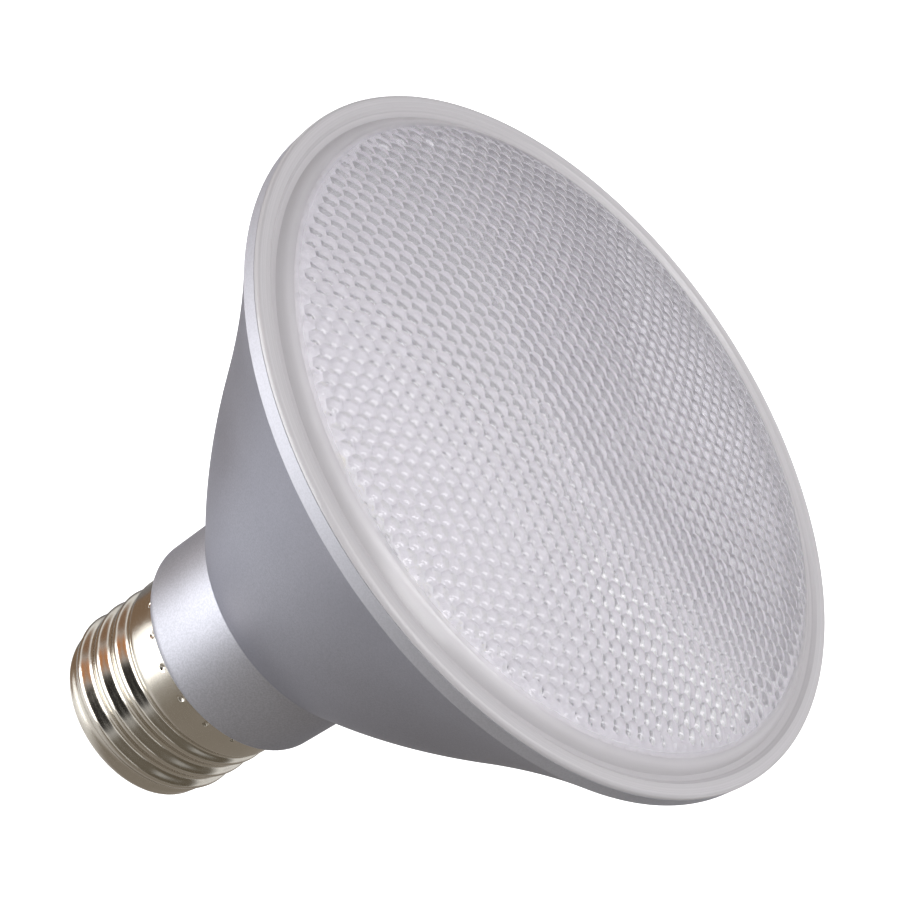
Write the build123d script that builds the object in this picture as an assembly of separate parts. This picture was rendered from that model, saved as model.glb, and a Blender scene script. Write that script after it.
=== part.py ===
from build123d import *
import os
from math import cos, radians, sin, sqrt

os.makedirs("parts", exist_ok=True)

# Stack along the lamp's axis, upwards from the contact tip at z = 0
cap_height = 24.4
neck_length = 14.4
cone_height = 42.0
collar_height = 2.0

# Screw cap: medium one-inch lamp thread, pressed from thin sheet
thread_pitch = 25.4 / 7
thread_major_d = 26.3
thread_depth = 0.7
thread_crest_z = 10.07
sections_per_turn = 8
skirt_length = 4.6
shell_sheet = 0.3
shell_foot_z = 5.0
foot_round = 1.6
stake_count = 18
stake_turn = 3.6
stake_drop = 1.3
stake_r = 0.55
stake_depth = 0.2

# Base insulator and centre contact
insulator_fit = 0.2
insulator_top_z = 8.0
contact_r = 4.8
contact_thickness = 1.2
contact_flat_r = 3.4
insulator_land = 1.0
pin_r = 1.4
pin_fit = 0.1
pin_head_length = 1.5

# Driver cup, whose outside is the neck
neck_r = 15.0
neck_taper = 0.35
neck_round = 1.6
cup_wall = 2.0
cup_floor = 1.6
cap_fit = 0.1
spigot_wall = 1.5
spigot_length = 4.2
plug_step = 0.75
plug_length = 6.2

# Cast cone: bulges at the rear, then flares hollow to the rim
shoulder_step = 1.95
rear_round = 1.2
waist_r = 32.6
waist_height = 21.0
waist_slope = 0.59
lamp_d = 95.2
collar_flare = 0.2
cone_wall = 3.0
collar_wall = 2.0
plug_fit = 0.15
deck_height = 7.2
deck_thickness = 3.0

# Reflector bowl
reflector_gap = 0.6
reflector_wall = 1.0
reflector_rim = 0.8
reflector_overlap = 1.4
seat_fit = 0.15

# Lens: rim flange, groove, and a dome of small hexagonal pillows
flange_thickness = 0.85
flange_width = 1.7
flange_round = 0.5
ridge_fall = 0.5
groove_floor = 0.8
groove_width = 2.9
field_rise = 2.2
field_lip = 0.25
lip_width = 0.3
lip_slope = 0.35
dome_rise = 7.0
lens_wall = 2.3
lens_spigot_width = 1.6
cell_pitch = 2.04
pillow_depth = 0.28
field_margin = 0.25

# Light board
board_edge_gap = 1.6
board_thickness = 1.6
chip_size = (3.5, 2.8, 0.8)
chip_window = (2.6, 2.0, 0.15)
chip_rings = ((6, 7.6, 0), (12, 13.4, 15))
screw_count = 3
screw_circle_r = 16.9
screw_head_r = 2.0
screw_head_height = 1.4
screw_thread_r = 1.2
screw_slot = 0.6
screw_length = 4.4
screw_hole_fit = 0.1
wire_hole_r = 2.6

# Driver board and what is soldered to it
driver_thickness = 1.6
driver_offset = 4.0
driver_edge_fit = 0.3
driver_top_gap = 1.5
lead_tail = 3.0
solder_gap = 0.1
core_size = (13.0, 9.0, 12.0)
core_window = 7.2
core_leg = 2.6
winding_fit = 0.2
winding_bulge = 1.0
capacitor_r = 5.0
capacitor_length = 12.0
capacitor_groove = 0.5
film_size = (6.0, 5.0, 9.0)
rectifier_size = (6.2, 2.5, 5.0)
chip_body = (4.0, 1.6, 5.0)
chip_leg = (0.45, 0.25, 1.1)
resistor_r = 1.3
resistor_length = 5.5
component_gap = 0.8
lead_r = 0.55

# Heights and radii that follow from the sizes above
neck_z = cap_height
shoulder_z = neck_z + neck_length
crease_z = shoulder_z + cone_height
collar_z = crease_z + collar_height
waist_z = shoulder_z + waist_height
deck_z = shoulder_z + deck_height
floor_z = deck_z + deck_thickness
board_top_z = floor_z + board_thickness

thread_r = thread_major_d / 2
root_r = thread_r - thread_depth
skirt_z = neck_z - skirt_length
thread_foot_z = shell_foot_z + foot_round
foot_r = root_r - foot_round
insulator_r = foot_r - insulator_fit
neck_top_r = neck_r + neck_taper
spigot_r = thread_r - shell_sheet - cap_fit
spigot_bore_r = spigot_r - spigot_wall
cup_bore_r = neck_r - cup_wall
plug_r = neck_top_r - plug_step
rear_r = neck_top_r + shoulder_step
lamp_r = lamp_d / 2
crease_r = lamp_r - collar_flare
seat_r = lamp_r - collar_wall
reflector_inset = cone_wall + reflector_gap
flange_top_z = collar_z + flange_thickness
ridge_r = lamp_r - flange_width
field_r = ridge_r - groove_width
field_z = collar_z + field_rise
dome_r = (field_r ** 2 + dome_rise ** 2) / (2 * dome_rise)
dome_top_z = field_z + dome_rise


def turned(*points):
    """Solid turned about the lamp's axis from an outline of (radius, height) points."""
    return revolve(Plane.XZ * make_face(Polyline(*points, close=True)), Axis.Z)


def tube(radius, bottom, top):
    """Upright round bar between two heights on the lamp's axis."""
    return Pos(0, 0, bottom) * Cylinder(radius, top - bottom, align=(Align.CENTER, Align.CENTER, Align.MIN))


def block(size, x, y, bottom):
    """Upright box centred on x and y, standing on a height."""
    return Pos(x, y, bottom) * Box(*size, align=(Align.CENTER, Align.CENTER, Align.MIN))


def bowl_region(inset, bottom, top):
    """Half-section under the cone's wall moved in by an inset, cut off at two heights.

    The wall is two arcs that share one slope at the waist: a bulge below it and a flare above it.
    """
    rear = (rear_r - inset, shoulder_z)
    waist = (waist_r - inset, waist_z)
    front = (crease_r - inset, crease_z)
    bulge = TangentArc(waist, rear, tangent=(-waist_slope, -1))
    flare = TangentArc(waist, front, tangent=(waist_slope, 1))
    edges = Polyline(rear, (0, shoulder_z), (0, crease_z), front)
    return make_face([bulge, flare, edges]) & Pos(0, bottom) * Rectangle(
        2 * lamp_r, top - bottom, align=(Align.CENTER, Align.MIN))


def bowl(inset, bottom, top):
    """The region under the cone's wall, turned to a solid plug."""
    return revolve(Plane.XZ * bowl_region(inset, bottom, top), Axis.Z)


# Screw shell: one round thread is a circle whose centre runs once round the axis in each pitch
def thread_section(z, inset):
    """Circle of the thread at a height, run out to the skirt's radius above and to the root below."""
    fade = thread_pitch / 2
    run_out = min(1, (skirt_z - z) / fade)
    run_in = min(1, (z - thread_foot_z) / fade)
    offset = thread_depth / 2 * run_out * run_in
    radius = thread_r - offset if run_in == 1 else root_r + offset
    turn = radians(360 * (z - thread_crest_z) / thread_pitch)
    return Pos(offset * cos(turn), offset * sin(turn), z) * Circle(radius - inset)


def threaded_bar(inset):
    """Smooth loft through the thread's circles, several to each turn."""
    length = skirt_z - thread_foot_z
    steps = round(length * sections_per_turn / thread_pitch)
    return loft([thread_section(thread_foot_z + length * k / steps, inset) for k in range(steps + 1)])


def make_screw_shell():
    """Curled foot, threaded middle and plain skirt of one pressed sheet, staked to the neck."""
    thread = threaded_bar(0) - threaded_bar(shell_sheet)
    skirt = tube(thread_r, skirt_z, neck_z) - tube(thread_r - shell_sheet, skirt_z, neck_z)
    foot_outside = TangentArc((root_r, thread_foot_z), (foot_r, shell_foot_z), tangent=(0, -1))
    foot_inside = TangentArc((root_r - shell_sheet, thread_foot_z), (foot_r, shell_foot_z + shell_sheet),
                             tangent=(0, -1))
    foot_ends = [Line(foot_outside @ 0, foot_inside @ 0), Line(foot_outside @ 1, foot_inside @ 1)]
    foot = revolve(Plane.XZ * make_face([foot_outside, foot_inside, *foot_ends]), Axis.Z)
    dents = PolarLocations(thread_r + stake_r - stake_depth, stake_count, start_angle=stake_turn)
    dent = Pos(0, 0, neck_z - stake_drop) * Sphere(stake_r)
    return foot + thread + (skirt - [spot * dent for spot in dents])


def make_base_insulator():
    plug = turned((0, contact_thickness), (contact_r + insulator_land, contact_thickness),
                  (insulator_r, shell_foot_z), (insulator_r, insulator_top_z), (0, insulator_top_z))
    return plug - tube(pin_r + pin_fit, contact_thickness, insulator_top_z)


def make_centre_contact():
    """Rivet: a flat-tipped button below the insulator and a pin up through it."""
    return turned((0, 0), (contact_flat_r, 0), (contact_r, contact_thickness / 2), (contact_r, contact_thickness),
                  (pin_r, contact_thickness), (pin_r, insulator_top_z + pin_head_length),
                  (0, insulator_top_z + pin_head_length))


def make_driver_cup():
    """Neck, with a spigot down into the screw shell and a plug up into the cone."""
    outline = make_face(Polyline(
        (spigot_bore_r, neck_z - spigot_length), (spigot_r, neck_z - spigot_length), (spigot_r, neck_z),
        (neck_r, neck_z), (neck_top_r, shoulder_z), (plug_r, shoulder_z), (plug_r, shoulder_z + plug_length),
        (cup_bore_r, shoulder_z + plug_length), (cup_bore_r, neck_z + cup_floor),
        (spigot_bore_r, neck_z + cup_floor), close=True))
    corner = outline.vertices().sort_by_distance((neck_r, neck_z))[0]
    return revolve(Plane.XZ * fillet(corner, neck_round), Axis.Z)


screw_spots = PolarLocations(screw_circle_r, screw_count, start_angle=90)
wire_spot = Pos(0, driver_offset - driver_thickness / 2 - lead_r - solder_gap)


def make_housing_cone():
    """Cone, rim collar and inner deck in one casting."""
    region = bowl_region(0, shoulder_z, crease_z)
    corner = region.vertices().sort_by_distance((rear_r, shoulder_z))[0]
    cone = revolve(Plane.XZ * fillet(corner, rear_round), Axis.Z)
    cone += turned((0, crease_z), (crease_r, crease_z), (lamp_r, collar_z), (0, collar_z))
    cone -= bowl(cone_wall, floor_z, crease_z)
    cone -= tube(seat_r, crease_z, collar_z)
    cone -= tube(plug_r + plug_fit, shoulder_z, deck_z)
    cone -= wire_spot * tube(wire_hole_r, deck_z, floor_z)
    tapped = tube(screw_thread_r + screw_hole_fit, deck_z, floor_z)
    return cone - [spot * tapped for spot in screw_spots]


def make_reflector():
    """Bowl that follows the cone's inside, with a rim under the lens and a floor on the light board."""
    wall_bottom = board_top_z + reflector_wall
    shell = bowl(reflector_inset, board_top_z, crease_z)
    shell += tube(seat_r - seat_fit, crease_z, crease_z + reflector_rim)
    shell -= bowl(reflector_inset + reflector_wall, wall_bottom, crease_z)
    shell -= tube(crease_r - reflector_inset - reflector_wall, crease_z, crease_z + reflector_rim)
    return shell - tube(board_r - reflector_overlap, board_top_z, wall_bottom)


# Light board and its chips
floor_edge = bowl_region(cone_wall, floor_z, crease_z).edges().sort_by(Axis.Y)[0]
board_r = floor_edge.bounding_box().max.X - board_edge_gap


def make_led_board():
    disc = tube(board_r, floor_z, board_top_z)
    disc -= wire_spot * tube(wire_hole_r, floor_z, board_top_z)
    return disc - [spot * tube(screw_thread_r + screw_hole_fit, floor_z, board_top_z) for spot in screw_spots]


def make_led_chips():
    """Two rings of packages, each with a shallow window in its top."""
    length, width, height = chip_size
    chip = block(chip_size, 0, 0, board_top_z) - block(chip_window, 0, 0, board_top_z + height - chip_window[2])
    rings = [PolarLocations(radius, count, start_angle=turn) for count, radius, turn in chip_rings]
    return Compound([spot * chip for ring in rings for spot in ring])


def make_board_screws():
    head = tube(screw_head_r, board_top_z, board_top_z + screw_head_height)
    head = fillet(head.edges().sort_by(Axis.Z)[-1], screw_head_height / 2)
    slot = (2 * screw_head_r, screw_slot, screw_slot)
    top = board_top_z + screw_head_height
    screw = head - block(slot, 0, 0, top - screw_slot) - block((screw_slot, slot[0], screw_slot), 0, 0, top - screw_slot)
    screw += tube(screw_thread_r, board_top_z - screw_length, board_top_z)
    return Compound([spot * screw for spot in screw_spots])


# Lens: the domed field is six small slopes to each hexagonal cell
def dome_z(x, y):
    """Height of the dome's sphere over a point."""
    return dome_top_z - dome_r + sqrt(dome_r ** 2 - x * x - y * y)


def field_cells():
    """Centre and six corners of each whole cell of the honeycomb inside the field."""
    reach = int(2 * field_r / cell_pitch) + 1
    corner_r = cell_pitch / sqrt(3)
    spokes = [(corner_r * cos(radians(a)), corner_r * sin(radians(a))) for a in range(30, 390, 60)]
    cells = []
    for row in range(-reach, reach + 1):
        for column in range(-reach, reach + 1):
            x = cell_pitch * (column + row / 2)
            y = cell_pitch * row * sqrt(3) / 2
            corners = [(round(x + dx, 4), round(y + dy, 4)) for dx, dy in spokes]
            if all(cx * cx + cy * cy < (field_r - field_margin) ** 2 for cx, cy in corners):
                cells.append(((x, y), corners))
    return cells


def make_field(cells):
    """Pyramids over the cells and the flat ring that carries them, as loose faces.

    Corners between cells lie below the dome by the pillow's depth, and the outermost lie on the ring.
    """
    sides = {(a, b) for _, corners in cells for a, b in zip(corners, corners[1:] + corners[:1])}
    border = {a: b for a, b in sides if (b, a) not in sides}

    def lifted(corner):
        return (*corner, field_z if corner in border else dome_z(*corner) - pillow_depth)

    faces = []
    for centre, corners in cells:
        peak = (*centre, dome_z(*centre))
        for a, b in zip(corners, corners[1:] + corners[:1]):
            faces.append(Face(Wire.make_polygon([peak, lifted(a), lifted(b)])))
    loop = [next(iter(border))]
    while border[loop[-1]] != loop[0]:
        loop.append(border[loop[-1]])
    ring = Wire.make_circle(field_r, Plane((0, 0, field_z)))
    return faces + [Face(ring, [Wire.make_polygon([lifted(corner) for corner in loop])])]


def make_lens():
    """Rim, groove and inside turned about the axis, closed over the top by the field."""
    lip_r = field_r + lip_width
    groove_r = ridge_r - ridge_fall
    spigot_out = seat_r - seat_fit
    spigot_in = spigot_out - lens_spigot_width
    inside_top = (0, dome_top_z - lens_wall)
    inside_edge = (spigot_in - lip_width, collar_z)
    groove_z = flange_top_z - ridge_fall
    slope_foot = (groove_r - groove_floor, groove_z)
    outline = Curve() + [
        Polyline((field_r, field_z), (field_r, field_z + field_lip), (lip_r, field_z + field_lip)),
        TangentArc((lip_r, field_z + field_lip), slope_foot, tangent=(lip_slope, -1)),
        Polyline(slope_foot, (groove_r, groove_z), (ridge_r, flange_top_z), (lamp_r - flange_round, flange_top_z)),
        TangentArc((lamp_r - flange_round, flange_top_z), (lamp_r, flange_top_z - flange_round), tangent=(1, 0)),
        Polyline((lamp_r, flange_top_z - flange_round), (lamp_r, collar_z), (spigot_out, collar_z),
                 (spigot_out, crease_z + reflector_rim), (spigot_in, crease_z + reflector_rim),
                 (spigot_in, collar_z), inside_edge),
        TangentArc(inside_top, inside_edge, tangent=(1, 0)),
    ]
    rim = Shell.revolve(Plane.XZ * outline, 360, Axis.Z)
    return Solid(Shell(rim.faces() + make_field(field_cells())))


# Driver board, standing on the base insulator
driver_face_y = driver_offset - driver_thickness / 2
driver_half = sqrt(spigot_bore_r ** 2 - (driver_offset + driver_thickness / 2) ** 2) - driver_edge_fit
driver_top_z = deck_z - driver_top_gap
core_z = driver_top_z - lead_tail - core_size[2]
capacitor_z = core_z - component_gap - capacitor_length
low_z = insulator_top_z + pin_head_length + component_gap


def make_driver_board():
    size = (2 * driver_half, driver_thickness, driver_top_z - insulator_top_z)
    return block(size, 0, driver_offset, insulator_top_z)


def on_board(size, x, bottom):
    """Box soldered to the driver board's front face."""
    return block(size, x, driver_face_y - solder_gap - size[1] / 2, bottom)


def make_transformer_core():
    """Two-window core: outer frame with a middle leg."""
    frame = on_board(core_size, 0, core_z)
    middle_y = driver_face_y - solder_gap - core_size[1] / 2
    window = block((core_size[0] - 2 * core_leg, core_size[1], core_window), 0, middle_y,
                   core_z + (core_size[2] - core_window) / 2)
    leg = block((core_leg, core_size[1], core_window), 0, middle_y, core_z + (core_size[2] - core_window) / 2)
    return frame - window + leg


def make_transformer_winding():
    """Coil round the core's middle leg, bulging past its faces."""
    middle_y = driver_face_y - solder_gap - core_size[1] / 2
    bottom = core_z + (core_size[2] - core_window) / 2 + winding_fit
    height = core_window - 2 * winding_fit
    width = core_size[0] - 2 * core_leg - 2 * winding_fit
    coil = block((width, core_size[1] + 2 * winding_bulge, height), 0, middle_y - winding_bulge, bottom)
    hole = block((core_leg + 2 * winding_fit, core_size[1] + 2 * winding_fit, height), 0, middle_y, bottom)
    return fillet(coil.edges().filter_by(Axis.Z), winding_bulge) - hole


def make_bulk_capacitor():
    """Can lying against the board, with a rolled groove near its foot."""
    can = tube(capacitor_r, capacitor_z, capacitor_z + capacitor_length)
    can -= Pos(0, 0, capacitor_z + 3 * capacitor_groove) * Torus(capacitor_r, capacitor_groove)
    return Pos(capacitor_r - driver_half, driver_face_y - solder_gap - capacitor_r) * can


def make_film_capacitor():
    box = on_board(film_size, driver_half - film_size[0] / 2, capacitor_z)
    return fillet(box.edges().filter_by(Axis.Y), film_size[0] / 6)


def make_bridge_rectifier():
    body = on_board(rectifier_size, driver_half - rectifier_size[0] / 2, low_z)
    return chamfer(body.faces().sort_by(Axis.Y)[0].edges(), rectifier_size[1] / 5)


def make_driver_chip():
    """Eight-legged package on the board's back face."""
    back_y = driver_offset + driver_thickness / 2 + solder_gap + chip_body[1] / 2
    body = block(chip_body, 0, back_y, capacitor_z)
    leg_y = driver_offset + driver_thickness / 2 + solder_gap + chip_leg[1] / 2
    for side in (-1, 1):
        for k in range(4):
            x = side * (chip_body[0] + chip_leg[2]) / 2
            z = capacitor_z + chip_body[2] * (2 * k + 1) / 8 - chip_leg[0] / 2
            body += block((chip_leg[2], chip_leg[1], chip_leg[0]), x, leg_y, z)
    return body


def make_fuse_resistor():
    """Axial resistor with swollen ends, upright against the board."""
    neck = resistor_r * 0.85
    band = resistor_length / 4
    body = turned((0, 0), (resistor_r, 0), (resistor_r, band), (neck, 1.5 * band), (neck, 2.5 * band),
                  (resistor_r, 3 * band), (resistor_r, 4 * band), (0, 4 * band))
    return Pos(resistor_r - driver_half, driver_face_y - solder_gap - resistor_r, low_z) * body


def make_lead(points, bend):
    """Insulated wire swept along straight runs with rounded corners."""
    path = FilletPolyline(*points, radius=bend) if len(points) > 2 else Polyline(*points)
    start = Plane(path @ 0, z_dir=path % 0)
    return sweep(start * Circle(lead_r), path)


lead_y = driver_face_y - solder_gap - lead_r
lead_bend = 3 * lead_r


def make_live_lead():
    """From the contact's pin up to the driver board."""
    start = insulator_top_z + pin_head_length
    rise = low_z + 2 * lead_bend
    return make_lead([(0, 0, start), (0, 0, rise), (0, lead_y, rise + 2 * lead_bend),
                      (0, lead_y, rise + 4 * lead_bend)], lead_bend)


def make_neutral_lead():
    """From the screw shell's inside wall to the driver board."""
    end_r = root_r - shell_sheet - lead_r - solder_gap
    side_x = driver_half - lead_r
    top = (low_z + rectifier_size[2] + capacitor_z) / 2
    side_y = -sqrt(end_r ** 2 - side_x ** 2)
    return make_lead([(side_x, lead_y, top), (side_x, side_y, top), (side_x, side_y, top - 3 * lead_bend)], lead_bend)


def make_led_leads():
    """Two wires from the driver board's top, through the deck to pads on the light board."""
    start = driver_top_z - lead_tail + component_gap / 2
    pad_z = board_top_z + lead_r + solder_gap
    wires = []
    for side in (-1, 1):
        x = side * 1.6 * lead_r
        wires.append(make_lead([(x, lead_y, start), (x, lead_y, pad_z), (x + side * 2 * lead_bend, lead_y, pad_z)],
                               lead_bend))
    return Compound(wires)


pieces = {
    "centre_contact": make_centre_contact(),
    "base_insulator": make_base_insulator(),
    "screw_shell": make_screw_shell(),
    "driver_cup": make_driver_cup(),
    "driver_board": make_driver_board(),
    "transformer_core": make_transformer_core(),
    "transformer_winding": make_transformer_winding(),
    "bulk_capacitor": make_bulk_capacitor(),
    "film_capacitor": make_film_capacitor(),
    "bridge_rectifier": make_bridge_rectifier(),
    "driver_chip": make_driver_chip(),
    "fuse_resistor": make_fuse_resistor(),
    "live_lead": make_live_lead(),
    "neutral_lead": make_neutral_lead(),
    "led_leads": make_led_leads(),
    "housing_cone": make_housing_cone(),
    "led_board": make_led_board(),
    "led_chips": make_led_chips(),
    "board_screws": make_board_screws(),
    "reflector": make_reflector(),
    "lens": make_lens(),
}
for name, piece in pieces.items():
    export_step(piece, f"parts/{name}.step")
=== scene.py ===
import bmesh
import bpy
import numpy as np
from mathutils import Matrix, Vector


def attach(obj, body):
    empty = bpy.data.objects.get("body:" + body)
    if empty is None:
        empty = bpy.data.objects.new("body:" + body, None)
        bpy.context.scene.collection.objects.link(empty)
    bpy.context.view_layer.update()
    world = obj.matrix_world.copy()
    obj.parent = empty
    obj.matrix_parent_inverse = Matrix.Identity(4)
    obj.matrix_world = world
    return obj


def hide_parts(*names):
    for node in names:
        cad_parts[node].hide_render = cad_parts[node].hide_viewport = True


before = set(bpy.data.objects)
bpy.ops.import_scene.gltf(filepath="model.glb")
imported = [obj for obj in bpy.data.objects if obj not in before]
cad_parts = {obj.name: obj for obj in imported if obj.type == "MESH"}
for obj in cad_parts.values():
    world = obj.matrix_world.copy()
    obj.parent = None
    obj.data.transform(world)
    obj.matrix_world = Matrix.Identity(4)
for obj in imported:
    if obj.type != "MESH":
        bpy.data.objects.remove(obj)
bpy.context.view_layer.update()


# Centre contact: a brass button whose flat tip meets the lampholder's sprung tongue.
# It is turned from bar, and its pin is riveted up through the base insulator.
contact_flat_r, contact_r = 3.4, 4.8
contact_round_z, contact_top_z = 0.7, 1.2
pin_r, pin_top_z = 1.4, 9.5


def at(radius, height):
    """Point of an outline as one complex number, radius plus height times i, in millimetres."""
    return radius + height * 1j


def arc(start, end, heading, count):
    """Points of the circular arc that leaves start along heading and ends at end.

    The centre lies square to the heading, at half the squared chord over the chord's part along that square,
    and the arc turns through twice the angle from heading to chord.
    """
    chord = end - start
    square = heading / abs(heading) * 1j
    centre = start + square * abs(chord) ** 2 / (2 * (square.conjugate() * chord).real)
    sweep = 2 * np.angle(chord / heading)
    return centre + (start - centre) * np.exp(1j * sweep * np.linspace(0, 1, count))


def outline(*runs):
    """One closed outline from points and arcs in order."""
    return np.concatenate([np.atleast_1d(np.asarray(run, complex)) for run in runs])


def placed(name, mesh, crease):
    """Object for a finished mesh that rides on the lamp, smooth but for edges past crease degrees."""
    mesh.shade_smooth()
    mesh.set_sharp_from_angle(angle=np.radians(crease))
    piece = bpy.data.objects.new(name, mesh)
    bpy.context.scene.collection.objects.link(piece)
    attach(piece, "root")
    return piece


def skin(name, points, crease):
    """Closed piece over a grid of points in millimetres that wraps round both ways.

    Each point makes a four-sided face with its next column, its next row and the one across, and rows that
    shrink to one point on the axis are merged there.
    """
    rows, columns = points.shape[:2]
    index = np.arange(rows * columns).reshape(rows, columns)
    beside, above = np.roll(index, -1, 1), np.roll(index, -1, 0)
    faces = np.stack([index, beside, np.roll(above, -1, 1), above], -1).reshape(-1, 4)
    mesh = bpy.data.meshes.new(name)
    mesh.from_pydata((points.reshape(-1, 3) / 1000).tolist(), [], faces.tolist())
    shape = bmesh.new()
    shape.from_mesh(mesh)
    bmesh.ops.remove_doubles(shape, verts=shape.verts, dist=1e-7)
    bmesh.ops.recalc_face_normals(shape, faces=shape.faces)
    shape.to_mesh(mesh)
    shape.free()
    return placed(name, mesh, crease)


def turned(name, profile, columns=256, crease=30):
    """Piece turned about the lamp's axis: each outline point is carried round a ring of equal steps."""
    turn = np.linspace(0, 2 * np.pi, columns, endpoint=False)
    radius, height = profile.real[:, None], profile.imag[:, None]
    points = np.stack([radius * np.cos(turn), radius * np.sin(turn), height + 0 * turn], -1)
    return skin(name, points, crease)


def ease(piece, width, turn=30):
    """Small rounding, in millimetres, along the edges that turn by more than some degrees."""
    edge = piece.modifiers.new("eased edges", "BEVEL")
    edge.width = width / 1000
    edge.segments = 3
    edge.limit_method = "ANGLE"
    edge.angle_limit = np.radians(turn)
    edge.harden_normals = True


class Signal:
    """A socket of a material's nodes. Arithmetic on signals and numbers places Math nodes."""

    def __init__(self, tree, socket=None):
        self.tree = tree
        self.socket = socket

    def node(self, kind, settings=None, inputs=None, output=0):
        """Places a node: its settings first, then each input, linked to a signal or given its value."""
        made = self.tree.nodes.new("ShaderNode" + kind)
        for key, value in (settings or {}).items():
            setattr(made, key, value)
        for key, value in (inputs or {}).items():
            if isinstance(value, Signal):
                self.tree.links.new(value.socket, made.inputs[key])
            else:
                made.inputs[key].default_value = value
        return Signal(self.tree, made.outputs[output] if made.outputs else None)

    def math(self, operation, first, second):
        return self.node("Math", {"operation": operation}, {0: first, 1: second})

    def __add__(self, other):
        return self.math("ADD", self, other)

    def __radd__(self, other):
        return self.math("ADD", other, self)

    def __sub__(self, other):
        return self.math("SUBTRACT", self, other)

    def __rsub__(self, other):
        return self.math("SUBTRACT", other, self)

    def __mul__(self, other):
        return self.math("MULTIPLY", self, other)

    def __rmul__(self, other):
        return self.math("MULTIPLY", other, self)


def new_finish(name):
    """Empty material and the signal that its nodes start from."""
    material = bpy.data.materials.new(name)
    material.use_nodes = True
    material.node_tree.nodes.clear()
    return material, Signal(material.node_tree)


def noise(start, size, detail=2.0, stretch=(1, 1, 1)):
    """Cloudy value from 0 to 1 in spots of about size millimetres, finer along axes that stretch raises."""
    place = start.node("TexCoord", output="Object")
    place = start.node("VectorMath", {"operation": "MULTIPLY"}, {0: place, 1: stretch})
    return start.node("TexNoise", None, {"Vector": place, "Scale": 1000 / size, "Detail": detail}, "Fac")


def spread(value, low, high):
    """Value between two levels turned to 0 to 1, eased at both ends."""
    return value.node("MapRange", {"interpolation_type": "SMOOTHSTEP"},
                      {"Value": value, "From Min": low, "From Max": high}, "Result")


def blend(mask, dark, light):
    """Colour that goes from dark to light as the mask goes from 0 to 1."""
    return mask.node("Mix", {"data_type": "RGBA"}, {0: mask, 6: dark, 7: light}, 2)


def bump(height, strength, depth):
    """Shading normal of a surface that rises by depth, in metres, as the height goes from 0 to 1."""
    return height.node("Bump", None, {"Strength": strength, "Distance": depth, "Height": height})


def dress(piece, material, shader):
    """Ends the material with its shader and puts it in all the piece's slots."""
    shader.node("OutputMaterial", None, {"Surface": shader})
    if not piece.data.materials:
        piece.data.materials.append(None)
    for slot in piece.material_slots:
        slot.material = material


contact = turned("contact_button", outline(
    0, contact_flat_r, arc(contact_flat_r, at(contact_r, contact_round_z), heading=1, count=8),
    at(contact_r, contact_top_z), at(pin_r, contact_top_z), at(pin_r, pin_top_z), at(0, pin_top_z)), columns=96)
ease(contact, width=0.12)
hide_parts("centre_contact")
brass, start = new_finish("turned_brass")
rings = noise(start, 0.25, detail=3, stretch=(1, 1, 0.2))
tarnish = spread(noise(start, 2.2, detail=4), 0.4, 0.75)
dress(contact, brass, start.node("BsdfPrincipled", None, {
    "Base Color": blend(tarnish, (0.72, 0.56, 0.27, 1), (0.42, 0.30, 0.14, 1)), "Metallic": 1.0,
    "Roughness": 0.22 + 0.2 * tarnish, "Normal": bump(rings, strength=0.15, depth=2e-5)}))

# Base insulator: the black plug in the cap's foot that keeps the contact apart from the shell.
# It is moulded hard and glossy, tapers to the contact and is held by the shell's curled edge.
pin_hole_r, land_r, insulator_r = 1.5, 5.8, 10.65
insulator_edge_z, insulator_top_z = 5.0, 8.0
insulator = turned("insulator_plug", outline(
    at(pin_hole_r, contact_top_z), at(land_r, contact_top_z),
    arc(at(land_r, contact_top_z), at(insulator_r, insulator_edge_z), heading=1 + 0.35j, count=14),
    at(insulator_r, insulator_top_z), at(pin_hole_r, insulator_top_z)), columns=128)
ease(insulator, width=0.2)
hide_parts("base_insulator")
black_glaze, start = new_finish("black_glaze")
flow = noise(start, 1.6, detail=3)
dress(insulator, black_glaze, start.node("BsdfPrincipled", None, {
    "Base Color": blend(flow, (0.012, 0.012, 0.014, 1), (0.035, 0.034, 0.036, 1)),
    "Roughness": 0.12 + 0.16 * flow, "Normal": bump(flow, strength=0.2, depth=6e-5)}))

# Screw shell: thin brass sheet rolled to a round right-hand thread and plated with bright nickel.
# Its foot curls in over the insulator, and its skirt is staked to the neck with a ring of small dents.
thread_r = 13.15
thread_depth = 0.7
thread_pitch = 25.4 / 7
thread_crest_z = 10.07
thread_foot_z, skirt_z, neck_z = 6.6, 19.8, 24.4
shell_foot_r, foot_round = 10.85, 1.6
shell_sheet = 0.3
dent_count, dent_turn, dent_z = 18, np.radians(3.6), 23.1
dent_r, dent_depth, dent_columns = 0.5, 0.24, 28
dent_band_low, dent_band_high = 22.3, 23.9


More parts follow.
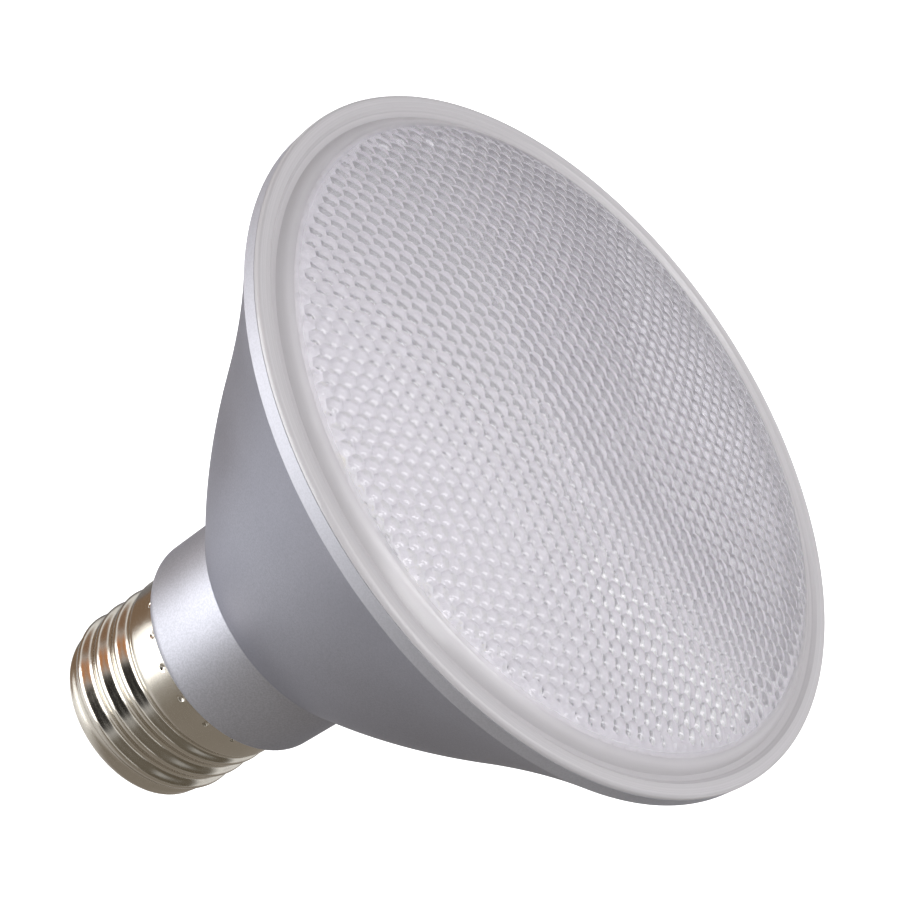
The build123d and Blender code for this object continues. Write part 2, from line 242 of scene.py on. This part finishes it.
def shell_rows(inset):
    """Height, radius and eccentricity of each ring of the shell from its curled foot to its top.

    The thread is a circle whose centre runs round the axis once in each pitch at half the thread's depth; the
    eccentricity rises from the foot and falls to the skirt over half a pitch, eased at both ends. Rings lie
    closer together in the band of dents.
    """
    curl = np.radians(np.linspace(-90, 0, 9)[:-1])
    heights = np.concatenate([
        np.linspace(thread_foot_z, skirt_z, 84)[:-1], np.linspace(skirt_z, dent_band_low, 8)[:-1],
        np.linspace(dent_band_low, dent_band_high, 15)[:-1], [dent_band_high, neck_z]])
    rise = np.clip((heights - thread_foot_z) / (thread_pitch / 2), 0, 1)
    fall = np.clip((skirt_z - heights) / (thread_pitch / 2), 0, 1)
    off = thread_depth / 2 * rise * rise * (3 - 2 * rise) * fall * fall * (3 - 2 * fall)
    radius = np.where(heights < thread_crest_z, thread_r - thread_depth + off, thread_r - off) - inset
    curl_r = shell_foot_r + (foot_round - inset) * np.cos(curl)
    curl_z = thread_foot_z + (foot_round - inset) * np.sin(curl)
    return np.concatenate([curl_z, heights]), np.concatenate([curl_r, radius]), np.concatenate([0 * curl, off])


def shell_points(inset, turn):
    """Rings of the shell as circles about their moving centres, with round dents sunk into its outside."""
    height, radius, off = (row[:, None] for row in shell_rows(inset))
    phase = 2 * np.pi * (height - thread_crest_z) / thread_pitch
    step = 2 * np.pi / dent_count
    sideways = thread_r * ((turn - dent_turn + step / 2) % step - step / 2)
    cup = np.clip(1 - (sideways ** 2 + (height - dent_z) ** 2) / dent_r ** 2, 0, 1) ** 1.5
    radius = radius - dent_depth * cup * (inset == 0)
    return np.stack([off * np.cos(phase) + radius * np.cos(turn), off * np.sin(phase) + radius * np.sin(turn),
                     height + 0 * turn], -1)


turn = np.linspace(0, 2 * np.pi, dent_columns * dent_count, endpoint=False)
shell_sides = [shell_points(0, turn), shell_points(shell_sheet, turn)[::-1]]
shell = skin("screw_cap_shell", np.concatenate(shell_sides), crease=50)
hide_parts("screw_shell")
bright_nickel, start = new_finish("bright_nickel")
haze = noise(start, 3.0, detail=4)
draw = noise(start, 0.5, detail=3, stretch=(0.3, 0.3, 3))
dress(shell, bright_nickel, start.node("BsdfPrincipled", None, {
    "Base Color": blend(haze, (0.66, 0.625, 0.565, 1), (0.58, 0.545, 0.48, 1)), "Metallic": 1.0,
    "Roughness": 0.17 + 0.09 * spread(haze, 0.45, 0.8), "Normal": bump(draw, strength=0.06, depth=2e-5)}))

# Neck: the driver's moulded plastic cup, sprayed the same satin silver as the cone.
# A spigot below fits inside the screw shell and a plug above is pressed into the cone's rear.
spigot_in_r, spigot_out_r, spigot_foot_z = 11.25, 12.75, 20.2
neck_foot_r, neck_low_r, neck_top_r = 13.4, 15.04, 15.35
cup_bore_r, cup_floor_z = 13.0, 26.0
shoulder_z = 38.8
plug_r, plug_top_z = 14.6, 45.0
neck = turned("neck_cup", outline(
    at(spigot_in_r, spigot_foot_z), at(spigot_out_r, spigot_foot_z), at(spigot_out_r, neck_z),
    arc(at(neck_foot_r, neck_z), at(neck_low_r, cup_floor_z), heading=1, count=10), at(neck_top_r, shoulder_z),
    at(plug_r, shoulder_z), at(plug_r, plug_top_z), at(cup_bore_r, plug_top_z), at(cup_bore_r, cup_floor_z),
    at(spigot_in_r, cup_floor_z)))
ease(neck, width=0.12, turn=40)
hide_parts("driver_cup")


def silver_paint(name, base, deep, roughness, band=1):
    """Satin metallic paint: flakes too small to count as grain in the colour and the bump, with a slow drift.

    Above the height band, in metres, the colour is lightened as a painted highlight and the paint is rougher.
    """
    material, start = new_finish(name)
    flake = noise(start, 0.22, detail=1)
    drift = noise(start, 9.0)
    height = start.node("SeparateXYZ", None, {0: start.node("TexCoord", output="Object")}, "Z")
    # Painted highlight: above this height the silver is blended about a third of the way to a lighter tone,
    # standing in for light on the collar.
    collar = spread(height, band, band + 0.0006)
    shade = blend(spread(flake, 0.3, 0.7) * 0.75 + drift * 0.25, deep, base)
    return material, start.node("BsdfPrincipled", None, {
        "Base Color": blend(0.35 * collar, shade, (0.72, 0.72, 0.76, 1)), "Metallic": 0.85,
        "Roughness": roughness + 0.08 * drift + 0.22 * collar, "Specular Tint": (0.5, 0.5, 0.55, 1),
        "Normal": bump(flake, strength=0.22, depth=2e-5)})


dress(neck, *silver_paint("neck_silver", base=(0.50, 0.506, 0.556, 1), deep=(0.395, 0.40, 0.443, 1),
                          roughness=0.46))

# Driver: a circuit board standing in the neck with its transformer, capacitors, rectifier, control chip and
# fuse, and the wires to the cap and the light board. All are bought parts, soldered by their legs.
# Each row holds two colours, a roughness, the size of its mottling in millimetres and how that is stretched.
driver_finishes = {
    "driver_board": ((0.015, 0.10, 0.035), (0.03, 0.17, 0.06), 0.35, 1.5, (1, 1, 1)),
    "transformer_core": ((0.03, 0.03, 0.033), (0.07, 0.07, 0.075), 0.7, 0.4, (1, 1, 1)),
    "transformer_winding": ((0.55, 0.36, 0.03), (0.75, 0.52, 0.06), 0.4, 0.5, (1, 1, 5)),
    "bulk_capacitor": ((0.008, 0.010, 0.03), (0.02, 0.024, 0.06), 0.3, 4.0, (1, 1, 1)),
    "film_capacitor": ((0.28, 0.035, 0.015), (0.40, 0.06, 0.025), 0.25, 1.0, (1, 1, 1)),
    "bridge_rectifier": ((0.012, 0.012, 0.013), (0.03, 0.03, 0.032), 0.5, 0.3, (1, 1, 1)),
    "driver_chip": ((0.012, 0.012, 0.013), (0.035, 0.035, 0.037), 0.5, 0.3, (1, 1, 1)),
    "fuse_resistor": ((0.08, 0.17, 0.14), (0.13, 0.25, 0.21), 0.55, 0.6, (1, 1, 1)),
    "live_lead": ((0.25, 0.008, 0.006), (0.36, 0.02, 0.015), 0.4, 0.8, (1, 1, 1)),
    "neutral_lead": ((0.60, 0.60, 0.58), (0.72, 0.72, 0.70), 0.4, 0.8, (1, 1, 1)),
    "led_leads": ((0.60, 0.60, 0.58), (0.72, 0.72, 0.70), 0.4, 0.8, (1, 1, 1)),
}
for node, (low, high, roughness, size, stretch) in driver_finishes.items():
    material, start = new_finish(node + "_finish")
    cloud = noise(start, size, detail=3, stretch=stretch)
    dress(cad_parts[node], material, start.node("BsdfPrincipled", None, {
        "Base Color": blend(spread(cloud, 0.3, 0.7), (*low, 1), (*high, 1)),
        "Roughness": roughness - 0.1 * cloud, "Normal": bump(cloud, strength=0.2, depth=4e-5)}))

# Housing cone: one aluminium casting, heat sink and shell in one, bulged at the rear and flared to its rim.
# Its inner deck carries the light board, and the outside is sprayed satin silver, with a painted highlight
# lightening the rim's collar.
collar_z, crease_z, waist_z = 82.8, 80.8, 59.8
collar_r, crease_r, waist_r, rear_r = 47.6, 47.4, 32.6, 17.3
waist_heading = 0.59 + 1j
rear_land_r, rear_round = 16.6, 1.0
plug_bore_r, lens_seat_r = 14.75, 45.6
cone_wall_t = 3.0
deck_z, deck_top_z, deck_hole_r, deck_corner = 46.0, 49.0, 0.5, 0.5
# Height in millimetres above which the cone's silver carries the collar's painted highlight.
collar_highlight_z = 80.3


def cone_wall(inset, count):
    """Cone's wall from the rear up to the waist and from the waist up to the crease, moved in by inset.

    Two arcs share one slope at the waist, so the bulge below runs smoothly into the flare above.
    """
    waist = at(waist_r - inset, waist_z)
    bulge = arc(waist, at(rear_r - inset, shoulder_z), -waist_heading, count)
    flare = arc(waist, at(crease_r - inset, crease_z), waist_heading, count)
    return np.concatenate([bulge[::-1], flare[1:]])


outer = cone_wall(0, 40)
inner = cone_wall(cone_wall_t, 40)
inner = inner[inner.imag > deck_top_z]
rear_edge = outer[outer.imag > shoulder_z + rear_round][0]
cone = turned("cone_housing", outline(
    at(plug_bore_r, shoulder_z), arc(at(rear_land_r, shoulder_z), rear_edge, heading=1, count=8),
    outer[outer.imag > rear_edge.imag], at(collar_r, collar_z), at(lens_seat_r, collar_z),
    at(lens_seat_r, crease_z), inner[::-1], at(inner[0].real - deck_corner, deck_top_z),
    at(deck_hole_r, deck_top_z), at(deck_hole_r, deck_z), at(plug_bore_r, deck_z)), columns=320, crease=12)
ease(cone, width=0.1, turn=40)
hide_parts("housing_cone")
dress(cone, *silver_paint("cone_silver", base=(0.455, 0.461, 0.515, 1), deep=(0.357, 0.362, 0.408, 1),
                          roughness=0.37, band=collar_highlight_z / 1000))

# Light board: a round aluminium board under white lacquer, with the light chips soldered on in two rings.
# Three slotted screws hold it down to the cone's deck.
board_top_z = 50.6
chip_window_z, chip_top_z, window_edge = board_top_z + 0.62, board_top_z + 0.70, 0.02
white_lacquer, start = new_finish("white_lacquer")
speck = noise(start, 0.5)
dress(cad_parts["led_board"], white_lacquer, start.node("BsdfPrincipled", None, {
    "Base Color": blend(speck, (0.84, 0.83, 0.86, 1), (0.90, 0.89, 0.92, 1)), "Roughness": 0.4 + 0.15 * speck}))

light_chip, start = new_finish("light_chip")
height = start.node("SeparateXYZ", None, {0: start.node("TexCoord", output="Object")}, "Z")
above = spread(height, (chip_window_z - window_edge) / 1000, (chip_window_z + window_edge) / 1000)
window = above - above * spread(height, (chip_top_z - window_edge) / 1000, (chip_top_z + window_edge) / 1000)
dress(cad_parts["led_chips"], light_chip, start.node("BsdfPrincipled", None, {
    "Base Color": blend(window, (0.86, 0.86, 0.85, 1), (0.86, 0.83, 0.70, 1)),
    "Roughness": 0.3 + 0.2 * noise(start, 0.3)}))

zinc_screw, start = new_finish("zinc_screw")
frost = noise(start, 0.3, detail=3)
dress(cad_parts["board_screws"], zinc_screw, start.node("BsdfPrincipled", None, {
    "Base Color": blend(frost, (0.45, 0.45, 0.46, 1), (0.60, 0.60, 0.62, 1)), "Metallic": 1.0,
    "Roughness": 0.25 + 0.2 * frost}))

# Reflector: a pale moulded bowl that follows the cone's inside from the light board to the lens.
# Its rim is trapped between the cone's collar and the lens, and its floor covers the board's edge.
bowl_gap, bowl_wall_t, bowl_corner = 0.6, 1.0, 0.3
bowl_floor_r, bowl_floor_z = 19.5, board_top_z + bowl_wall_t
bowl_rim_r, bowl_mouth_r, bowl_rim_z = 45.45, 42.8, 81.6
bowl_out = cone_wall(cone_wall_t + bowl_gap, 40)
bowl_in = cone_wall(cone_wall_t + bowl_gap + bowl_wall_t, 40)
bowl_out = bowl_out[bowl_out.imag > board_top_z]
bowl_in = bowl_in[bowl_in.imag > bowl_floor_z]
bowl = turned("reflector_bowl", outline(
    at(bowl_floor_r, board_top_z), at(bowl_out[0].real - bowl_corner, board_top_z), bowl_out,
    at(bowl_rim_r, crease_z), at(bowl_rim_r, bowl_rim_z), at(bowl_mouth_r, bowl_rim_z), bowl_in[::-1],
    at(bowl_in[0].real - bowl_corner, bowl_floor_z), at(bowl_floor_r, bowl_floor_z)), columns=192, crease=25)
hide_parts("reflector")
pale_bowl, start = new_finish("pale_bowl")
veil = noise(start, 6.0, detail=3)
dress(bowl, pale_bowl, start.node("BsdfPrincipled", None, {
    "Base Color": blend(veil, (0.945, 0.92, 0.97, 1), (0.975, 0.95, 0.99, 1)),
    "Roughness": 0.28 + 0.12 * veil}))

# Lens: one clear plastic moulding, domed, with a face of small hexagonal pillows that spread the beam.
# Its field stands on a low slope inside a groove and a ridge, and its flange is glued on the cone's collar.
# The plastic is a little milky outside, most of all in the rim, and polished inside.
field_r = 43.0
field_z, dome_top_z = 85.0, 92.0
dome_r = (field_r ** 2 + (dome_top_z - field_z) ** 2) / (2 * (dome_top_z - field_z))
cell_pitch = 2.04
pillow_depth = 0.43
fade_start, fade_end = 41.0, 43.0
groove_in_r, groove_out_r, groove_z = 44.6, 45.3, 83.15
ridge_foot_r, ridge_foot_z = 45.4, 83.2
ridge_in_r, ridge_crown_r, ridge_crown_z = 45.9, 46.1, 83.66
flange_flat_r, flange_r, flange_round = 47.0, 47.6, 0.5
flange_top_z, flange_foot_z = 83.65, 82.85
lens_spigot_in_r, lens_spigot_out_r, lens_spigot_z = 43.85, 45.45, 81.65
inside_edge_r, inside_pole_r, inside_top_z = 43.55, 0.05, 89.7
lens_ior = 1.586
rim_milk = (0.0421, 0.0437)
rim_tone = (0.0420, 0.0431)
rim_streaks = (0.0448, 0.0456)


def honeycomb_cell(spokes, rings):
    """One cell as rings of points at shares of the way from its middle to its hexagon, and its triangles.

    A spoke at an angle ends on the hexagon's side: half the pitch over the cosine of the angle to that side.
    """
    angle = np.radians(30) + np.arange(spokes) * 2 * np.pi / spokes
    reach = cell_pitch / 2 / np.cos((angle + np.pi / 6) % (np.pi / 3) - np.pi / 6)
    points = np.asarray(rings)[:, None] * reach * np.exp(1j * angle)
    index = 1 + np.arange(len(rings) * spokes).reshape(len(rings), spokes)
    beside = np.roll(index, -1, 1)
    fan = np.stack([0 * index[0], index[0], beside[0]], -1)
    lower = np.stack([index[:-1], index[1:], beside[1:]], -1).reshape(-1, 3)
    upper = np.stack([index[:-1], beside[1:], beside[:-1]], -1).reshape(-1, 3)
    return np.concatenate([[0], points.ravel()]), np.concatenate([fan, lower, upper])


def pillow_field():
    """Points, heights and triangles of the field, with the order of its outermost points.

    A pillow falls from the dome by its depth times the squared share of the way from its middle to its corner.
    Towards the field's edge a growing part of that height is taken off down to the smooth ground between the
    pillows, so the last ones stand alone as small bumps. Points past the edge are brought in to it.
    """
    cell, faces = honeycomb_cell(12, (0.4, 0.75, 1))
    reach = int(2 * field_r / cell_pitch) + 2
    column, row = np.meshgrid(np.arange(-reach, reach + 1), np.arange(-reach, reach + 1))
    middles = (cell_pitch * (column + row / 2 + row * np.sqrt(0.75) * 1j)).ravel()
    middles = middles[abs(middles) < field_r + cell_pitch]
    points = middles[:, None] + cell
    share = abs(cell) / (cell_pitch / np.sqrt(3))
    sink = np.clip((abs(middles) - fade_start) / (fade_end - fade_start), 0, 1)[:, None]
    pillow = pillow_depth * np.clip(1 - share ** 2 - sink, 0, 1)
    outside = abs(points) > field_r - 1e-6
    points_in = np.where(outside, points / np.maximum(abs(points), 1e-9) * field_r, points)
    ground = dome_top_z - dome_r + np.sqrt(dome_r ** 2 - abs(points_in) ** 2) - pillow_depth
    height = ground + np.where(outside, 0, pillow)
    key = np.round(np.stack([points.real, points.imag], -1).reshape(-1, 2) * 1e4).astype(int)
    _, first, same = np.unique(key, axis=0, return_index=True, return_inverse=True)
    faces = same.ravel()[(np.arange(len(middles))[:, None, None] * len(cell) + faces).reshape(-1, 3)]
    points_in, height, outside = (part.ravel()[first] for part in (points_in, height, outside))
    faces = faces[~outside[faces].all(1)]
    edges = np.sort(faces[:, [0, 1, 1, 2, 2, 0]].reshape(-1, 2), 1)
    edges, uses = np.unique(edges, axis=0, return_counts=True)
    border = np.unique(edges[uses == 1])
    border = border[np.argsort(np.angle(points_in[border]))]
    return points_in, height, faces, border


def lens_mesh(name):
    """Field, rim and inside as one closed skin.

    The outline of rim and inside is carried round at the angles of the field's own edge points, and the last
    ring closes on one point at the inside's top.
    """
    points, height, faces, border = pillow_field()
    profile = outline(
        arc(at(field_r, field_z - pillow_depth), at(groove_in_r, groove_z), heading=1 - 0.6j, count=8),
        at(groove_out_r, groove_z),
        arc(at(ridge_foot_r, ridge_foot_z), at(ridge_in_r, flange_top_z), heading=1 + 1.2j, count=4),
        at(ridge_crown_r, ridge_crown_z), at(flange_flat_r, flange_top_z),
        arc(at(flange_r - flange_round, flange_top_z), at(flange_r, flange_top_z - flange_round),
            heading=1, count=6),
        at(flange_r, flange_foot_z), at(lens_spigot_out_r, flange_foot_z), at(lens_spigot_out_r, lens_spigot_z),
        at(lens_spigot_in_r, lens_spigot_z), at(lens_spigot_in_r, flange_foot_z),
        arc(at(inside_edge_r, flange_foot_z), at(inside_pole_r, inside_top_z), heading=-0.94 + 0.31j, count=24))
    rim = np.exp(1j * np.angle(points[border])) * profile.real[:, None]
    index = np.concatenate([border[None], len(points) + np.arange(rim.size).reshape(rim.shape)])
    beside = np.roll(index, -1, 1)
    quads = np.stack([index[:-1], index[1:], beside[1:], beside[:-1]], -1).reshape(-1, 4)
    pole = len(points) + rim.size
    fan = np.stack([index[-1], pole + 0 * border, beside[-1]], -1)
    flat = np.concatenate([points, rim.ravel(), [0]])
    high = np.concatenate([height, np.broadcast_to(profile.imag[:, None], rim.shape).ravel(), [inside_top_z]])
    mesh = bpy.data.meshes.new(name)
    mesh.from_pydata((np.stack([flat.real, flat.imag, high], -1) / 1000).tolist(), [],
                     faces.tolist() + quads.tolist() + fan.tolist())
    return mesh


def clear_plastic(start, normal=None):
    """Clear shader for the start signal's material, with a faint slow tint and a slightly uneven polish."""
    inputs = {"Base Color": blend(noise(start, 14.0), (0.97, 0.965, 0.985, 1), (1.0, 1.0, 1.0, 1)),
              "Roughness": 0.02 + 0.03 * noise(start, 1.2), "IOR": lens_ior, "Transmission Weight": 1.0}
    return start.node("BsdfPrincipled", None, inputs if normal is None else {**inputs, "Normal": normal})


lens = placed("pillow_lens", lens_mesh("pillow_lens"), crease=28)
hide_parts("lens")
clear_moulding, start = new_finish("clear_moulding")
flat = start.node("VectorMath", {"operation": "MULTIPLY"},
                  {0: start.node("TexCoord", output="Object"), 1: (1, 1, 0)})
radius = start.node("VectorMath", {"operation": "LENGTH"}, {0: flat}, "Value")
pale = blend(noise(start, 1.2), (0.84, 0.81, 0.885, 1), (0.90, 0.87, 0.945, 1))
streak = start.node("TexNoise", {"noise_dimensions": "1D"},
                    {"W": radius, "Scale": 4000.0, "Detail": 3.0}, "Fac")
streak = streak * (0.2 + 0.8 * spread(radius, *rim_streaks))
streaked = blend(streak, (0.445, 0.427, 0.445, 1), (0.60, 0.58, 0.60, 1))
milk = start.node("BsdfPrincipled", None, {
    "Base Color": blend(spread(radius, *rim_tone), pale, streaked), "Roughness": 0.3, "IOR": lens_ior})
dress(lens, clear_moulding, start.node("MixShader", None, {
    0: 0.25 + 0.55 * spread(radius, *rim_milk), 1: clear_plastic(start), 2: milk}))
clear_inside, start = new_finish("clear_inside")
polished = clear_plastic(start, bump(noise(start, 0.6), strength=0.15, depth=4e-5))
polished.node("OutputMaterial", None, {"Surface": polished})
lens.data.materials.append(clear_inside)
normals = np.empty(3 * len(lens.data.polygons))
lens.data.polygons.foreach_get("normal", normals)
lens.data.polygons.foreach_set("material_index", (normals[2::3] < -0.3).astype(int))

# Floor: a plain pale sweep well below the lamp, which hangs clear of it in its lampholder.
# It shows white to the camera and in gloss and glass, and still takes the lamp's soft shadow.
floor_half, floor_z = 6.0, -0.3
floor_mesh = bpy.data.meshes.new("floor")
floor_corners = [(-floor_half, -floor_half, floor_z), (floor_half, -floor_half, floor_z),
                 (floor_half, floor_half, floor_z), (-floor_half, floor_half, floor_z)]
floor_mesh.from_pydata(floor_corners, [], [(0, 1, 2, 3)])
floor = bpy.data.objects.new("floor", floor_mesh)
bpy.context.scene.collection.objects.link(floor)


def seen(start):
    """1 for rays from the camera, from gloss or through glass, and 0 for the rest."""
    rays = [start.node("LightPath", output=kind)
            for kind in ("Is Camera Ray", "Is Glossy Ray", "Is Transmission Ray")]
    return start.math("MAXIMUM", start.math("MAXIMUM", rays[0], rays[1]), rays[2])


pale_floor, start = new_finish("pale_floor")
matt = start.node("BsdfDiffuse", None, {"Color": (0.8, 0.8, 0.8, 1)})
glow = start.node("Emission", None, {
    "Color": (1, 1, 1, 1),
    "Strength": 0.2 + 0.75 * seen(start) + 1.2 * start.node("LightPath", output="Is Camera Ray")})
dress(floor, pale_floor, start.node("MixShader", None, {0: 0.5, 1: matt, 2: glow}))

# Studio: a grey room, a little lighter in front and behind and darker in one corner, with a pale ceiling.
# One long soft light crosses it and a small round one hangs above the camera; both glint in the pillows.
# A soft box low at the left lights the cap's side, and dim cards that show only in reflections shade the metal.
room_grey, ceiling_glow, light_glow = 0.53, 1.6, 5.0
world = bpy.data.worlds.new("white_room")
bpy.context.scene.world = world
world.use_nodes = True
world.node_tree.nodes.clear()
start = Signal(world.node_tree)
heading = start.node("TexCoord", output="Generated")
height = start.node("SeparateXYZ", None, {0: heading}, "Z")


def along(side):
    """Part of the looking direction that runs along a given one, as a cosine."""
    return heading.node("VectorMath", {"operation": "DOT_PRODUCT"}, {0: heading, 1: side}, "Value")


def within(value, full, none):
    """1 where the value lies no further from zero than full, falling to 0 at none."""
    return 1 - spread(start.math("ABSOLUTE", value, 0), full, none)


front = 0.12 * spread(along((0.0, -0.9, 0.43)), 0.5, 0.95)
behind = 0.08 * spread(along((0.55, 0.81, 0.2)), 0.7, 0.95)
dark_corner = 0.43 * spread(along((-0.66, 0.66, 0.35)), 0.72, 0.95)
room = room_grey + front + behind - dark_corner
room = room + spread(height, 0.66, 0.85) * (ceiling_glow - room)
long_light = within(along((-0.62, 0.74, 0.25)), 0.05, 0.13)
long_light = long_light * within(along((0.766, 0.643, 0.0)) - 0.1, 0.25, 0.45)
round_light = spread(along((0.31, -0.53, 0.79)), 0.975, 0.99)
room = room + light_glow * long_light + light_glow * round_light
room = start.math("MAXIMUM", room, start.node("LightPath", output="Is Camera Ray"))
start.node("OutputWorld", None, {
    "Surface": start.node("Background", None, {"Color": (1, 1, 1, 1), "Strength": room})})


def stand(name, data, place, aim):
    """Object at a place in metres, turned to face a point."""
    holder = bpy.data.objects.new(name, data)
    holder.location = place
    holder.rotation_euler = (Vector(place) - Vector(aim)).to_track_quat("Z", "Y").to_euler()
    bpy.context.scene.collection.objects.link(holder)
    return holder


side_box = bpy.data.lights.new("side_box", "AREA")
side_box.shape = "RECTANGLE"
side_box.size, side_box.size_y = 0.5, 0.34
side_box.energy = 2.5
stand("side_box", side_box, (-0.29, -0.34, -0.22), (0, 0, 0.03))


def card(name, place, aim, size, colour, soft):
    """Dim panel seen only in reflections, turned to face a point; its edges fade over the soft share."""
    mesh = bpy.data.meshes.new(name)
    mesh.from_pydata([(-1, -1, 0), (1, -1, 0), (1, 1, 0), (-1, 1, 0)], [], [(0, 1, 2, 3)])
    panel = stand(name, mesh, place, aim)
    panel.scale = (size[0] / 2, size[1] / 2, 1)
    panel.visible_camera = panel.visible_diffuse = False
    material, start = new_finish(name)
    across = start.node("VectorMath", {"operation": "ABSOLUTE"}, {0: start.node("TexCoord", output="Object")})
    mask = 1
    for axis in ("X", "Y"):
        mask = mask * spread(1 - start.node("SeparateXYZ", None, {0: across}, axis), 0, soft)
    dress(panel, material, start.node("MixShader", None, {
        0: mask, 1: start.node("BsdfTransparent"), 2: start.node("Emission", None, {"Color": (*colour, 1)})}))


card("floor_card", (0.46, 0.0, -0.28), (0.46, 0.0, 1), (1.2, 1.6), (0.30, 0.27, 0.235), 0.5)
card("left_card", (-0.40, 0.38, -0.28), (-0.40, 0.38, 1), (0.8, 0.8), (0.22, 0.21, 0.21), 0.6)
card("near_card", (0.25, -0.62, -0.27), (0.25, -0.62, 1), (0.9, 0.7), (0.25, 0.222, 0.18), 0.5)
card("right_card", (0.85, -0.1, -0.05), (0, 0, 0.0), (1.4, 0.5), (0.14, 0.12, 0.09), 0.4)
card("front_card", (-0.28, -0.70, 0.12), (0, 0, 0.02), (0.9, 0.6), (0.012, 0.010, 0.008), 0.4)
card("olive_card", (0.48, -0.56, 0.14), (0, 0, 0.02), (1.0, 0.6), (0.17, 0.15, 0.12), 0.4)
card("amber_card", (-0.66, -0.32, 0.03), (0, 0, 0.02), (0.5, 0.5), (0.60, 0.23, 0.05), 0.8)
card("brown_card", (-0.20, 0.03, -0.16), (0, 0, 0.015), (0.24, 0.25), (0.26, 0.175, 0.115), 0.4)
card("far_card", (0.15, 1.4, -0.12), (0, 0, 0.08), (3.2, 0.55), (0.60, 0.59, 0.62), 0.3)
card("wall_card", (-0.60, 0.12, 0.05), (0, 0, 0.015), (0.55, 0.36), (0.30, 0.18, 0.11), 0.5)
card("bounce_card", (-0.09, 0.13, -0.29), (-0.09, 0.13, 1), (0.28, 0.28), (1.5, 1.5, 1.5), 1.0)

# Camera: half a metre off, looking down at the lens and rolled so that the lamp leans to the right.
# Its place and lens are fitted to the rim and the cap.
camera_place = (0.04957, -0.41508, 0.3574)
tilt, roll, side = np.radians(55.447), np.radians(56.128), np.radians(7.6)
eye = bpy.data.cameras.new("camera")
eye.sensor_width = 36
eye.lens = 165.705
camera = bpy.data.objects.new("camera", eye)
camera.matrix_world = (Matrix.Translation(camera_place) @ Matrix.Rotation(side, 4, "Z")
                       @ Matrix.Rotation(tilt, 4, "X") @ Matrix.Rotation(roll, 4, "Z"))
bpy.context.scene.collection.objects.link(camera)
bpy.context.scene.camera = camera
bpy.context.scene.view_settings.view_transform = "Standard"
